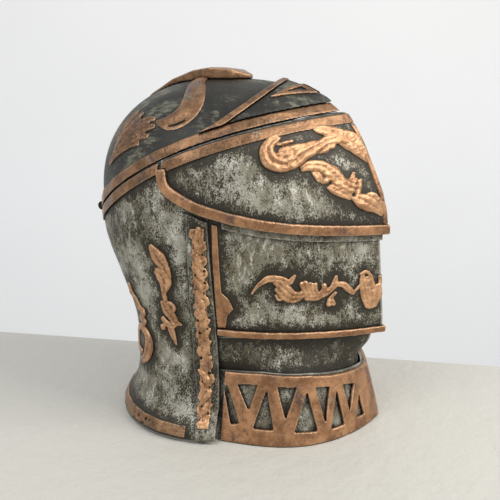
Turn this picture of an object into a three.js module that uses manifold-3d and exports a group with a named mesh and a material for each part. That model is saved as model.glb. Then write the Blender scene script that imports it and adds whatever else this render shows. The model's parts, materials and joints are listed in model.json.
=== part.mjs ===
// Close helmet with a hinged skull cap, a pivoting visor and applied cast trim.
// Millimetres, +Z up, the face looks along -Y, and X = 0 is the plane of symmetry.
import * as THREE from 'three';
import { mergeVertices } from 'three/addons/utils/BufferGeometryUtils.js';
import Module from 'manifold-3d';

const wasm = await Module();
wasm.setup();

// Driving dimensions.
const lengthShift = -2.03; // slides the whole helmet so that Z passes through the middle of its length
const gap = 0.3; // clearance kept between neighbouring pieces
const sheet = 2.6; // thickness of the skull and neck plates
const thinSheet = 2.2; // thickness of the visor, face, throat and collar plates
const centreY = 18; // the widest section of the head lies here
const shoulderZ = 195; // the skull starts to close in above this level
const crownZ = 291; // top of the bare skull
const skullHalfWidth = 95;
const skullRear = 109; // from centreY back to the rear of the skull
const skullFront = 125; // from centreY forward to the brow ridge
const sidePower = 2.2; // fullness of the skull seen from the front and the rear
const browPower = 2.6; // fullness of the brow seen from the side
const archHigh = [-89, 265]; // seam between cap and helmet at the brow, as [y, z]
const archLow = [128, 170]; // the same seam at the hinge
const archRadius = 420; // the seam is an arc of this radius
const pivotY = 26.5;
const pivotZ = 213.5;
const pivotRadius = 2.2;
const hingeY = 131.6;
const hingeZ = 176;
const hingeRadius = 4;
const hingeLength = 42;

// How far the outer faces of the trim stand off the plates.
const bandLift = 2.3; // flat bands along the seam
const rimLift = 1.8; // the flat rim band and face border
const beadLift = 3.8; // the round bead on the visor's lower edge
const ledgeLift = 4;
const ornamentLift = 4.5; // cast ornaments on the neck and face
const bossLift = 5; // cast ornaments on the visor and the cap
const stripLift = 3.3; // raised cheek strip
const filigreeLift = 5.4; // relief on top of the cheek strip
const browLift = 4; // doubled plate over the brow

// Half a section: steps round the rear quarter, and from the side to the front ridge.
const rearSteps = 7;
const frontSteps = 7;
const wide = 160; // half length of a cutting prism, well past the helmet

// Levels as [z, half width, reach from centreY], and for the front plates how blunt the front is.
const neckRear = [[0, 103.5, 92], [10, 102, 89], [28, 89, 80], [60, 84, 78], [90, 85.5, 81],
  [125, 90, 95], [160, 94, 108.5], [195, 95, 109]];
const visorFront = [[150, 101, 145.5, 0], [175, 101, 145, 0], [196, 101, 141, 0], [216, 99, 133, 0],
  [236, 95, 124, 0], [255, 84.5, 114.5, 0], [270, 69.5, 102.5, 0], [282, 54, 89, 0]];
const faceFront = [[66, 82, 144, 0], [78, 83, 145, 0], [90, 84, 146, 0], [120, 88.5, 143.5, 0],
  [154, 92, 141, 0], [188, 93, 137, 0]];
const throatFront = [[46, 76, 126, 1], [56, 76.5, 126, 0.75], [70, 81, 135, 0.15], [86, 82, 138, 0]];
const collarFront = [[0, 92, 146, 1], [30, 86, 138.5, 1], [60, 80.6, 129.4, 1]];
const broadPower = 4.2; // how long the sides of a broad front stay straight
const broadCorner = 1.3; // how sharp its corners are

// Smooth value between levels; column 1 is the half width and column 2 the reach.
function levelValue(table, column, z) {
  let i = 0;
  while (i < table.length - 2 && z > table[i + 1][0]) i += 1;
  const before = table[Math.max(i - 1, 0)];
  const low = table[i];
  const high = table[i + 1];
  const after = table[Math.min(i + 2, table.length - 1)];
  const span = high[0] - low[0];
  const t = THREE.MathUtils.clamp((z - low[0]) / span, -0.5, 1.5);
  const slopeLow = i === 0 ? (high[column] - low[column]) / span
    : (high[column] - before[column]) / (high[0] - before[0]);
  const slopeHigh = high === after ? (high[column] - low[column]) / span
    : (after[column] - low[column]) / (after[0] - low[0]);
  const t2 = t * t;
  const t3 = t2 * t;
  return low[column] * (2 * t3 - 3 * t2 + 1) + high[column] * (3 * t2 - 2 * t3)
    + slopeLow * span * (t3 - 2 * t2 + t) + slopeHigh * span * (t3 - t2);
}

// One closed section, counter-clockwise from the rear. The front comes to a ridge where
// blunt is 0 and is a broad collar where it is 1.
function section(z, halfWidth, rear, front, blunt = 0) {
  const half = [];
  for (let i = 0; i <= rearSteps; i += 1) {
    const angle = (i / rearSteps) * Math.PI / 2;
    half.push([halfWidth * Math.sin(angle), centreY + rear * Math.cos(angle)]);
  }
  for (let i = 1; i <= frontSteps; i += 1) {
    const even = i / frontSteps;
    const s = THREE.MathUtils.lerp(even, Math.sin(even * Math.PI / 2), blunt);
    const ridged = 1 - s * s;
    const broad = (1 - s ** broadPower) ** (1 / broadCorner);
    half.push([halfWidth * THREE.MathUtils.lerp(ridged, broad, blunt), centreY - front * s]);
  }
  const left = half.map(([x, y]) => new THREE.Vector3(-x, y, z));
  const right = half.slice(1, -1).reverse().map(([x, y]) => new THREE.Vector3(x, y, z));
  return left.concat(right);
}

// Closed solid through a stack of sections.
function loft(sections) {
  const count = sections[0].length;
  const positions = [];
  const faces = [];
  for (const ring of sections) {
    for (const point of ring) positions.push(point.x, point.y, point.z);
  }
  for (let k = 0; k < sections.length - 1; k += 1) {
    for (let i = 0; i < count; i += 1) {
      const a = k * count + i;
      const b = k * count + (i + 1) % count;
      faces.push(a, b, b + count, a, b + count, a + count);
    }
  }
  for (const k of [0, sections.length - 1]) {
    const middle = new THREE.Vector3();
    for (const point of sections[k]) middle.addScaledVector(point, 1 / count);
    const centre = positions.length / 3;
    positions.push(middle.x, middle.y, middle.z);
    for (let i = 0; i < count; i += 1) {
      const a = k * count + i;
      const b = k * count + (i + 1) % count;
      if (k === 0) faces.push(centre, b, a);
      else faces.push(centre, a, b);
    }
  }
  const geometry = new THREE.BufferGeometry();
  geometry.setAttribute('position', new THREE.Float32BufferAttribute(positions, 3));
  geometry.setIndex(faces);
  return solidOf(geometry);
}

function solidOf(geometry) {
  const bare = geometry.clone();
  bare.deleteAttribute('normal');
  bare.deleteAttribute('uv');
  const merged = mergeVertices(bare, 1e-4);
  return new wasm.Manifold(new wasm.Mesh({
    numProp: 3,
    vertProperties: new Float32Array(merged.attributes.position.array),
    triVerts: new Uint32Array(merged.index.array),
  }));
}

function geometryOf(solid) {
  const mesh = solid.getMesh();
  const geometry = new THREE.BufferGeometry();
  geometry.setAttribute('position', new THREE.BufferAttribute(new Float32Array(mesh.vertProperties), 3));
  geometry.setIndex(new THREE.BufferAttribute(new Uint32Array(mesh.triVerts), 1));
  return geometry;
}

// The skull and neck surface, pushed outwards by grow.
function skullSolid(grow, fromZ = 0) {
  const sections = [];
  const bottom = neckRear.map(([z]) => z);
  const levels = [0, 6, 14, 26, 42, 60, 80, 100, 120, 140, 158, 176].filter((z) => z > fromZ);
  for (const z of [fromZ, ...levels, bottom.at(-1)]) {
    const w = levelValue(neckRear, 1, Math.max(z, 0)) + grow;
    const rear = levelValue(neckRear, 2, Math.max(z, 0)) + grow;
    sections.push(section(z, w, rear, skullFront + grow));
  }
  const rise = crownZ + grow - shoulderZ;
  for (const t of [0.22, 0.42, 0.58, 0.71, 0.81, 0.89, 0.95, 0.99]) {
    const side = (1 - t ** sidePower) ** (1 / sidePower);
    const brow = (1 - t ** browPower) ** (1 / browPower);
    sections.push(section(shoulderZ + rise * t, (skullHalfWidth + grow) * side,
      (skullRear + grow) * side, (skullFront + grow) * brow));
  }
  return loft(sections);
}

// A front plate's surface from its table of levels, run on by extra at its two ends.
function frontSolid(table, grow, extra = 0) {
  const low = table[0][0] - extra;
  const high = table.at(-1)[0] + extra;
  const steps = Math.max(4, Math.round((high - low) / 16));
  const sections = [];
  for (let k = 0; k <= steps; k += 1) {
    const z = low + (high - low) * (k / steps);
    const w = levelValue(table, 1, z) + grow;
    const blunt = THREE.MathUtils.clamp(levelValue(table, 3, z), 0, 1);
    sections.push(section(z, w, w, levelValue(table, 2, z) + grow, blunt));
  }
  return loft(sections);
}

function skullLayer(from, to) {
  return skullSolid(to).subtract(skullSolid(from, -1));
}

function frontLayer(table, from, to) {
  return frontSolid(table, to).subtract(frontSolid(table, from, 1));
}

function outlineShape(points) {
  return new THREE.Shape(points.map(([u, v]) => new THREE.Vector2(u, v)));
}

function extruded(shape, from, to) {
  const settings = { depth: to - from, bevelEnabled: false, curveSegments: 6 };
  const geometry = new THREE.ExtrudeGeometry(shape, settings);
  return geometry.translate(0, 0, from);
}

// Outline in side view, as [y, z], run along X; side is -1 for left, 1 for right, 0 for both.
function sidePrism(points, side = 0, holes = []) {
  const shape = outlineShape(points);
  for (const hole of holes) shape.holes.push(outlineShape(hole));
  const geometry = extruded(shape, side > 0 ? gap : -wide, side < 0 ? -gap : wide);
  const basis = new THREE.Matrix4().makeBasis(
    new THREE.Vector3(0, 1, 0), new THREE.Vector3(0, 0, 1), new THREE.Vector3(1, 0, 0));
  return solidOf(geometry.applyMatrix4(basis));
}

// Outline in plan, as [x, y], run up Z above the given level.
function planPrism(points, fromZ, toZ, holes = []) {
  const shape = outlineShape(points);
  for (const hole of holes) shape.holes.push(outlineShape(hole));
  return solidOf(extruded(shape, fromZ, toZ));
}

// Outline in front view, as [x, z], run along Y.
function frontPrism(points, fromY, toY) {
  const geometry = extruded(outlineShape(points), -toY, -fromY);
  return solidOf(geometry.rotateX(Math.PI / 2));
}

function box(low, high) {
  const size = high.map((value, i) => value - low[i]);
  const geometry = new THREE.BoxGeometry(...size);
  return solidOf(geometry.translate(...low.map((value, i) => value + size[i] / 2)));
}

// Round bar along X.
function barX(radius, fromX, toX, y, z, sides = 20) {
  const geometry = new THREE.CylinderGeometry(radius, radius, toX - fromX, sides);
  return solidOf(geometry.rotateZ(Math.PI / 2).translate((fromX + toX) / 2, y, z));
}

// Smooth open line through a few points.
function smoothLine(points, steps) {
  const curve = new THREE.SplineCurve(points.map(([u, v]) => new THREE.Vector2(u, v)));
  return curve.getPoints(steps).map((point) => [point.x, point.y]);
}

// The same line moved to its left by distance.
function offsetLine(line, distance) {
  return line.map((point, i) => {
    const before = line[Math.max(i - 1, 0)];
    const after = line[Math.min(i + 1, line.length - 1)];
    const u = after[0] - before[0];
    const v = after[1] - before[1];
    const length = Math.hypot(u, v);
    return [point[0] - v / length * distance, point[1] + u / length * distance];
  });
}

function ribbon(line, from, to) {
  return offsetLine(line, from).concat(offsetLine(line, to).reverse());
}

// The seam arc between cap and helmet, from behind the hinge to past the brow.
function seamArc() {
  const chord = Math.hypot(archLow[0] - archHigh[0], archLow[1] - archHigh[1]);
  const middle = [(archLow[0] + archHigh[0]) / 2, (archLow[1] + archHigh[1]) / 2];
  const depth = Math.sqrt(archRadius ** 2 - (chord / 2) ** 2);
  const across = [(archHigh[1] - archLow[1]) / chord, (archLow[0] - archHigh[0]) / chord];
  const centre = [middle[0] - across[0] * depth, middle[1] - across[1] * depth];
  const start = Math.atan2(archLow[1] - centre[1], archLow[0] - centre[0]) - 0.05;
  const end = Math.atan2(archHigh[1] - centre[1], archHigh[0] - centre[0]) + 0.12;
  const points = [];
  const steps = 16;
  for (let i = 0; i <= steps; i += 1) {
    const angle = start + (end - start) * (i / steps);
    points.push([centre[0] + archRadius * Math.cos(angle), centre[1] + archRadius * Math.sin(angle)]);
  }
  return points;
}

const seam = seamArc(); // runs from rear to front, so its left side is below it
const aboveSeam = (lift) => offsetLine(seam, -lift).concat([[-wide, 360], [wide, 360]]);
const belowSeam = (drop) => offsetLine(seam, drop).concat([[-wide, -20], [wide, -20]]);
const behind = (y) => [[y, -20], [wide, -20], [wide, 360], [y, 360]];
const before = (y) => [[-wide, -20], [y, -20], [y, 360], [-wide, 360]];

// Finishes: base colour, roughness, metalness.
const finishes = {
  pewter: [0x9a9a92, 0.55, 0.6],
  charcoal: [0x3a3b38, 0.6, 0.4],
  copper: [0xb07c54, 0.4, 0.7],
  iron: [0x24231f, 0.6, 0.6],
};

const helmet = new THREE.Group();

function addPiece(parent, name, solid, finish) {
  const [color, roughness, metalness] = finishes[finish];
  const material = new THREE.MeshStandardMaterial({ color, roughness, metalness });
  const mesh = new THREE.Mesh(geometryOf(solid), material);
  mesh.name = name;
  parent.add(mesh);
}

// A piece and its mirror image on the other side.
function addPair(parent, name, solidForSide, finish) {
  addPiece(parent, `${name}_left`, solidForSide(-1), finish);
  addPiece(parent, `${name}_right`, solidForSide(1), finish);
}

// Makes one side's ornament: the part of a raised layer that lies inside an outline in the side view.
function fromLayer(layer, outline) {
  return (side) => layer.intersect(sidePrism(outline, side));
}

// The bands stop at this block, so that the hinge has room.
const hingeRoom = box([-hingeLength / 2 - 1, 100, 140], [hingeLength / 2 + 1, wide, 200]);
const cheekFront = -3; // the neck shell's front edge, under the cheek strip
const sightTop = 236; // upper edge of the sight opening behind the visor

function addNeck(parent) {
  const faceCut = sidePrism([[-wide, -20], [cheekFront, -20], [cheekFront, sightTop], [-wide, sightTop]]);
  const pivots = barX(pivotRadius + gap, -wide, wide, pivotY, pivotZ);
  const shell = skullLayer(-sheet, 0).intersect(sidePrism(belowSeam(gap)));
  addPiece(parent, 'neck_shell', shell.subtract(faceCut).subtract(pivots), 'pewter');
  const band = skullLayer(gap, bandLift).intersect(sidePrism(ribbon(seam, 1, 8.5))).subtract(hingeRoom);
  addPair(parent, 'neck_seam_band', (side) => band.intersect(sidePrism(behind(36.5), side)), 'copper');
  const rim = skullLayer(gap, rimLift).intersect(box([-wide, 13, 4], [wide, wide, 13]));
  addPiece(parent, 'base_rim_band', rim, 'copper');
}

const stripOutline = [[-12.5, 2.5], [-9, 60], [-7.5, 120], [-5.5, 184], [11, 191], [12, 120], [12, 60],
  [3, 2.5]];
const filigreeOutline = [[-8.5, 9], [-5, 60], [-4, 120], [-2, 178], [7, 181], [8.5, 120], [9, 60],
  [1, 9]];
const cheekOrnamentOutline = [[45, 163], [38, 160], [35, 146], [29, 132], [31, 118], [26, 100],
  [31, 88], [36, 68], [43, 84], [48, 100], [44, 118], [49, 136]];
const rearOrnamentOutline = [[84, 120], [72, 114], [66, 104], [58, 98], [55, 84], [61, 70], [66, 56],
  [78, 50], [86, 60], [88, 80], [84, 96], [90, 108]];

function addCheeks(parent) {
  const stripLayer = skullLayer(gap, stripLift);
  addPair(parent, 'cheek_strip', fromLayer(stripLayer, stripOutline), 'pewter');
  const reliefLayer = skullLayer(stripLift + gap, filigreeLift);
  addPair(parent, 'cheek_filigree', fromLayer(reliefLayer, filigreeOutline), 'copper');
  const ornamentLayer = skullLayer(gap, ornamentLift);
  addPair(parent, 'cheek_ornament', fromLayer(ornamentLayer, cheekOrnamentOutline), 'copper');
  addPair(parent, 'rear_ornament', fromLayer(ornamentLayer, rearOrnamentOutline), 'copper');
}

// The lower edge of the ledge, higher towards the rear.
const ledgeLine = [[-wide, 75.5], [cheekFront - gap, 89]];
const ledgeHeight = 6;
const borderOutline = [[-8.5, 95.5], [-15, 95], [-17, 106], [-22, 112], [-19, 120], [-13.5, 126],
  [-12, 181], [-7.5, 182]];
// The palmette's outline as [X, Z], seen from the front.
const palmetteOutline = [[-17, 116], [-13, 106], [0, 103], [13, 106], [17, 116], [13, 129], [0, 133],
  [-13, 129]];
const garlandOutline = [[-34, 124], [-44, 137], [-52, 143], [-62, 138], [-74, 136], [-86, 135],
  [-95, 137], [-104, 128], [-108, 118], [-102, 112], [-92, 107], [-84, 119], [-72, 121], [-62, 124],
  [-52, 128], [-44, 127]];

function addFace(parent) {
  const rearEdge = cheekFront - 0.5;
  const lowEdge = ledgeLine.concat([[rearEdge, 188], [-wide, 188]]);
  const plate = frontLayer(faceFront, -thinSheet, 0).intersect(sidePrism(lowEdge));
  addPiece(parent, 'face_plate', plate.intersect(sidePrism(before(rearEdge))), 'pewter');
  const ledgeBand = ledgeLine.concat(ledgeLine.map(([y, z]) => [y, z + ledgeHeight]).reverse());
  const ledge = frontLayer(faceFront, gap, ledgeLift).intersect(sidePrism(ledgeBand));
  addPiece(parent, 'ledge_bead', ledge.intersect(sidePrism(before(-8.5))), 'copper');
  const borderLayer = frontLayer(faceFront, gap, rimLift);
  addPair(parent, 'face_border', fromLayer(borderLayer, borderOutline), 'copper');
  const reliefLayer = frontLayer(faceFront, gap, ornamentLift);
  addPair(parent, 'face_garland', fromLayer(reliefLayer, garlandOutline), 'copper');
  const palmette = frontPrism(palmetteOutline, -wide, -60);
  const garlands = sidePrism(offsetLine(garlandOutline.concat([garlandOutline[0]]), -0.6));
  addPiece(parent, 'face_palmette', reliefLayer.intersect(palmette).subtract(garlands), 'copper');
}

function addThroat(parent) {
  const plate = frontLayer(throatFront, -thinSheet, 0);
  addPiece(parent, 'throat_plate', plate.intersect(sidePrism(before(cheekFront - 0.5))), 'pewter');
}

// Upper edge of the collar in side view, as [y, z]: highest at the side and low at the front.
const collarTop = [[-wide, 36], [-111, 47.5], [-80, 55], [-45, 58], [-8, 56.5]];
const collarWindowReach = [-8, 4]; // a window's cutter runs between these lifts
// Windows of the collar on one side, as [how far forward from 0 to 1, z].
const collarWindows = [
  [[0.235, 46], [0.262, 46], [0.33, 16], [0.278, 14]],
  [[0.325, 48], [0.455, 49], [0.39, 27]],
  [[0.507, 46], [0.53, 13], [0.412, 13]],
  [[0.572, 48], [0.68, 47], [0.6, 21]],
  [[0.73, 43], [0.64, 11], [0.757, 10]],
  [[0.774, 45], [0.842, 43], [0.797, 14]],
  [[0.87, 39], [0.818, 9], [0.878, 9]],
  [[0.9, 41], [0.945, 38], [0.907, 17]],
  [[0.955, 28], [0.928, 10], [0.96, 9]],
];

// A cutter for one collar window, square to the collar's surface.
function windowCutter(outline, side) {
  const ring = (lift) => outline.map(([forward, z]) => {
    const broad = (1 - forward ** broadPower) ** (1 / broadCorner);
    const halfWidth = levelValue(collarFront, 1, z) + lift;
    const reach = levelValue(collarFront, 2, z) + lift;
    return new THREE.Vector3(side * halfWidth * broad, centreY - reach * forward, z);
  });
  const rings = collarWindowReach.map(ring);
  const cutter = loft(rings);
  return cutter.volume() > 0 ? cutter : loft(rings.reverse());
}

function addCollar(parent) {
  const belowTop = sidePrism([...collarTop, [-8, -1], [-wide, -1]]);
  const backing = frontLayer(collarFront, -5.2, -3.2).intersect(belowTop);
  addPiece(parent, 'collar_plate', backing, 'pewter');
  let lattice = frontLayer(collarFront, -2.9, 0).intersect(belowTop).intersect(sidePrism(before(-13.8)));
  for (const outline of collarWindows) {
    for (const side of [-1, 1]) lattice = lattice.subtract(windowCutter(outline, side));
  }
  addPiece(parent, 'collar_lattice', lattice, 'copper');
}

function addPivots(parent) {
  addPair(parent, 'visor_pivot_pin', (side) => (side < 0
    ? barX(pivotRadius, -97.8, -85, pivotY, pivotZ) : barX(pivotRadius, 85, 97.8, pivotY, pivotZ)), 'iron');
  addPair(parent, 'visor_pivot_washer', (side) => {
    const ring = side < 0 ? barX(7, -88.4, -86.6, pivotY, pivotZ) : barX(7, 86.6, 88.4, pivotY, pivotZ);
    return ring.subtract(barX(pivotRadius + gap, -wide, wide, pivotY, pivotZ));
  }, 'iron');
}

const visorLow = smoothLine([[35, 223], [31, 209], [19, 200], [-8, 188.5], [-65, 174], [-wide, 160]], 24);
const beadWidth = 8.5;
const visorTopGap = 2; // the visor starts this far below the seam

function visorOutline() {
  const top = offsetLine(seam, visorTopGap).filter(([y]) => y < 31);
  return [...visorLow.slice().reverse(), ...top.slice(1)];
}

const upperScrollOutline = [[-47, 246], [-42, 239], [-46, 229], [-56, 225], [-66, 231], [-76, 236],
  [-86, 240], [-95, 240], [-104, 228], [-108, 228], [-104, 238], [-96, 248], [-84, 253], [-72, 254],
  [-76, 246], [-66, 241], [-58, 243], [-54, 249]];
const lowerScrollOutline = [[-68, 227], [-64, 221], [-72, 214], [-82, 206], [-92, 198], [-104, 188],
  [-118, 180], [-120, 186], [-114, 196], [-112, 204], [-102, 207], [-102, 217], [-92, 212], [-84, 218],
  [-76, 224]];

function addVisor(parent) {
  const outline = sidePrism(visorOutline());
  const pivots = barX(pivotRadius + gap, -wide, wide, pivotY, pivotZ);
  const plate = frontLayer(visorFront, -thinSheet, 0).intersect(outline);
  addPiece(parent, 'visor_plate', plate.subtract(pivots), 'pewter');
  const beadBand = sidePrism(ribbon(visorLow, 0, -beadWidth)).intersect(sidePrism(belowSeam(visorTopGap)));
  addPiece(parent, 'visor_edge_bead', frontLayer(visorFront, gap, beadLift).intersect(beadBand), 'copper');
  const beadRoom = sidePrism(ribbon(visorLow, beadWidth, -beadWidth - gap));
  const topRibbon = sidePrism(ribbon(seam, visorTopGap, 10));
  const topBand = topRibbon.intersect(sidePrism(before(30))).subtract(beadRoom);
  addPiece(parent, 'visor_top_band', frontLayer(visorFront, gap, bandLift).intersect(topBand), 'copper');
  const lipBand = sidePrism(ribbon(visorLow, 6.5, -5)).intersect(sidePrism(before(-16)));
  addPiece(parent, 'visor_lip', frontLayer(visorFront, -4.4, -2.5).intersect(lipBand), 'pewter');
  const ridgeSlab = box([-3, -wide, 160], [3, -70, 300]);
  const ridge = sidePrism(belowSeam(10.3)).intersect(ridgeSlab).subtract(beadRoom)
    .subtract(sidePrism(ribbon(visorLow, 0, 40)));
  addPiece(parent, 'visor_ridge_strip', frontLayer(visorFront, gap, 1.9).intersect(ridge), 'copper');
  const ridgeRoom = box([-3 - gap, -wide, 150], [3 + gap, -70, 300]);
  const reliefLayer = frontLayer(visorFront, gap, bossLift).subtract(ridgeRoom);
  const underBand = sidePrism(belowSeam(10 + gap));
  addPair(parent, 'visor_scroll_upper',
    (side) => reliefLayer.intersect(sidePrism(upperScrollOutline, side)).intersect(underBand), 'copper');
  addPair(parent, 'visor_scroll_lower', fromLayer(reliefLayer, lowerScrollOutline), 'copper');
}

const chevronLine = smoothLine([[14, 246], [-8, 260], [-25, 276], [-34, 288], [-38, 300]], 10);
const chevronWidth = 5;
const rimBandTop = 8.5; // the cap's copper rim reaches this far above the seam
const spineOutline = [[-4, -8], [4, -8], [16, 4], [19, 22], [14, 44], [9, 70], [6, 92], [5, 112],
  [-5, 112], [-6, 92], [-9, 70], [-14, 44], [-19, 22], [-16, 4]];
const spineTop = [[-wide, 293], [-8, 294], [4, 298], [22, 300], [40, 297.5], [62, 290], [84, 277.5],
  [102, 261], [112, 246]];
const scrollOutline = [[22, 287], [13, 280], [10, 271], [14, 260], [22, 254.5], [34, 253], [46, 260],
  [45, 263], [38, 267], [32, 273], [30, 284]];
const leafOutline = [[74, 268], [58, 266], [47, 262], [48, 253], [55, 248], [61, 241], [71, 238],
  [80, 236], [88, 227], [94, 223], [96, 233], [93, 250], [86, 262]];
const triangleOutline = [[-40, -38], [-3.5, -52], [-3.5, -67]];
const triangleHole = [[-27, -45], [-7, -60], [-7, -54]];

function addCap(parent) {
  addPiece(parent, 'skull_cap', skullLayer(-sheet, 0).intersect(sidePrism(aboveSeam(gap))), 'charcoal');
  const rim = skullLayer(gap, bandLift).intersect(sidePrism(ribbon(seam, -0.8, -rimBandTop)));
  addPiece(parent, 'cap_rim_band', rim.subtract(hingeRoom), 'copper');
  const overBand = sidePrism(aboveSeam(rimBandTop + gap));
  const chevron = skullLayer(gap, bossLift).intersect(sidePrism(ribbon(chevronLine, 0, chevronWidth)));
  addPiece(parent, 'brow_chevron', chevron.intersect(overBand), 'copper');
  const inFront = [...offsetLine(chevronLine, chevronWidth + gap), [-wide, 300], [-wide, 200], [14, 200]];
  const brow = skullLayer(gap, browLift).intersect(sidePrism(inFront)).intersect(overBand);
  addPiece(parent, 'brow_plate', brow, 'charcoal');
  const triangleLayer = skullLayer(browLift + gap, 5.6);
  addPair(parent, 'brow_triangle', (side) => {
    const turn = (points) => points.map(([x, y]) => [-side * x, y]);
    return triangleLayer.intersect(planPrism(turn(triangleOutline), 240, 320, [turn(triangleHole)]));
  }, 'copper');
  const spine = skullLayer(gap, 12).intersect(planPrism(spineOutline, 230, 320));
  const underSpineTop = sidePrism([...spineTop, [112, 200], [-wide, 200]]);
  addPiece(parent, 'crest_spine', spine.intersect(underSpineTop), 'copper');
  const spineRoom = planPrism(spineOutline.map(([x, y]) => [x * 1.05, y]), 230, 320);
  const reliefLayer = skullLayer(gap, bossLift).subtract(spineRoom);
  addPair(parent, 'crest_scroll', fromLayer(reliefLayer, scrollOutline), 'copper');
  addPair(parent, 'crest_leaf', fromLayer(reliefLayer, leafOutline), 'copper');
}

const knuckle = hingeLength / 3;
const leafWidth = 34;
const leafReach = 20; // how far each hinge leaf runs up or down the shell
const leafThickness = 1.6;
const leafRoot = 5; // half height of the thick root at the hinge line

// A curved leaf on the shell, with a thick root that carries the knuckles round the hinge line.
function hingeLeaf(up, knuckleSpans) {
  const half = leafWidth / 2;
  const near = hingeZ + (up ? leafRoot : -leafRoot);
  const far = hingeZ + (up ? leafReach : -leafReach);
  let leaf = skullLayer(gap, gap + leafThickness)
    .intersect(box([-half, 100, Math.min(near, far)], [half, wide, Math.max(near, far)]));
  const root = skullLayer(gap, 5.5);
  for (const [from, to] of knuckleSpans) {
    const low = up ? hingeZ : hingeZ - leafRoot - 2;
    const high = up ? hingeZ + leafRoot + 2 : hingeZ;
    leaf = leaf.add(root.intersect(box([from, 100, low], [to, hingeY + 1, high])));
    leaf = leaf.add(barX(hingeRadius, from, to, hingeY, hingeZ));
  }
  return leaf.subtract(barX(1.8, -wide, wide, hingeY, hingeZ));
}

function addHinge(body, cap) {
  const half = hingeLength / 2;
  const clear = gap / 2 + 0.1;
  const outerKnuckles = [[-half, -half + knuckle - clear], [half - knuckle + clear, half]];
  const middleKnuckle = [[-half + knuckle + clear, half - knuckle - clear]];
  addPiece(body, 'hinge_leaf_neck', hingeLeaf(false, outerKnuckles), 'iron');
  addPiece(cap, 'hinge_leaf_cap', hingeLeaf(true, middleKnuckle), 'iron');
  addPiece(body, 'hinge_pin', barX(1.5, -half - 1.5, half + 1.5, hingeY, hingeZ), 'iron');
}

addNeck(helmet);
addCheeks(helmet);
addFace(helmet);
addThroat(helmet);
addCollar(helmet);
addPivots(helmet);
const visor = new THREE.Group();
addVisor(visor);
const cap = new THREE.Group();
addCap(cap);
addHinge(helmet, cap);
helmet.add(visor, cap);
helmet.position.set(0, lengthShift, 0);

export default helmet;
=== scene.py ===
# %% [markdown]
# # An ornamental close helmet, painted to look like old metal
# The real thing is a moulded shell with cast trim laid over it. Pewter coloured plates carry copper
# bands, beads and scrollwork, and the skull cap is dark. This lesson makes it in that order: the room,
# the finishes, the plates, the bands and beads, then the cast ornaments.
import json
import math
import random
import bpy
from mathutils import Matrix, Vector, noise
from mathutils.kdtree import KDTree

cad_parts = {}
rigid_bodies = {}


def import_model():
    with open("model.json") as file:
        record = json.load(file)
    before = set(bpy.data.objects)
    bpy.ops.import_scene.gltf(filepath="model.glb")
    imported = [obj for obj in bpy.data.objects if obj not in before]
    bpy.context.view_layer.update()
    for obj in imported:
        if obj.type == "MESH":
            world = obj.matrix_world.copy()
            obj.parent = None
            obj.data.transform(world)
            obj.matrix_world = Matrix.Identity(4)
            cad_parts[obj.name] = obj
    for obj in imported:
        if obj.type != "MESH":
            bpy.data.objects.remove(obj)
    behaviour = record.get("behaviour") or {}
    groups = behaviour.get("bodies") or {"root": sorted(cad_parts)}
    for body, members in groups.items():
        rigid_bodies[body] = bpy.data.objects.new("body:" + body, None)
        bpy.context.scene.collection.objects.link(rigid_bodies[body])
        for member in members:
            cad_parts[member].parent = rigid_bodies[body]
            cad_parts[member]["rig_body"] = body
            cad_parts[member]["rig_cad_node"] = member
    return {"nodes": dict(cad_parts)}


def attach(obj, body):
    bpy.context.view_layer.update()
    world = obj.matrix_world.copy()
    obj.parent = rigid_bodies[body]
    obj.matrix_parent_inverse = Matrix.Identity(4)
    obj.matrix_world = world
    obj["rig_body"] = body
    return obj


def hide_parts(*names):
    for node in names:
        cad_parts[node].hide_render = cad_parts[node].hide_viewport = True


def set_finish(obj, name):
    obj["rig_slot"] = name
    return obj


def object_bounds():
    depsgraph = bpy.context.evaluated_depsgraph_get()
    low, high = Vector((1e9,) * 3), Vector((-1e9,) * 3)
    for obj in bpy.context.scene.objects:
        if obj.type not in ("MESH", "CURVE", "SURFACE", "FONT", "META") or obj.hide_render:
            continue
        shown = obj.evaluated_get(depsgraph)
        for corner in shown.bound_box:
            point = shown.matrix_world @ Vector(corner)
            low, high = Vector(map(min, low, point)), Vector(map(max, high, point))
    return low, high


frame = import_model()
start_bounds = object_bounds()
noise.seed_set(7)  # the hand-made unevenness is the same in every run
print("CAD bounds", [list(map(lambda v: round(v, 4), corner)) for corner in start_bounds])

# %% [markdown]
# ## The former
# Every plate, band and ornament lies on one of a few smooth forms: the skull with its neck, and the
# fronts of the visor, face, throat and collar. The form is a rule that turns a place (how far round,
# how high, how far out) into a point. Each row of a form says, in mm, its height, half width and reach:
# rear reach for the skull, front reach for the fronts. A front's last number is how blunt it is, from 0 for
# a sharp ridge to 1 for the broad collar. Rows are few, and a smooth curve runs through them.

# %% The table of each form
MM = 0.001
SLIDE = -2.03  # slides the form so that the helmet stands centred, in mm
CENTRE = 18.0  # the widest section lies here, in mm along Y
SHOULDER = 195.0
CROWN = 291.0
FORMS = {
    "skull": [[0, 103.5, 92], [10, 102, 89], [28, 89, 80], [60, 84, 78], [90, 85.5, 81], [125, 90, 95],
              [160, 94, 108.5], [195, 95, 109]],
    "visor": [[150, 101, 145.5, 0], [175, 101, 145, 0], [196, 101, 141, 0], [216, 99, 133, 0],
              [236, 95, 124, 0], [255, 84.5, 114.5, 0], [270, 69.5, 102.5, 0], [282, 54, 89, 0]],
    "face": [[66, 82, 144, 0], [78, 83, 145, 0], [90, 84, 146, 0], [120, 88.5, 143.5, 0],
             [154, 92, 141, 0], [188, 93, 137, 0]],
    "throat": [[46, 76, 126, 1], [56, 76.5, 126, 0.75], [70, 81, 135, 0.15], [86, 82, 138, 0]],
    "collar": [[0, 92, 146, 1], [30, 86, 138.5, 1], [60, 80.6, 129.4, 1]],
}
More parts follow.
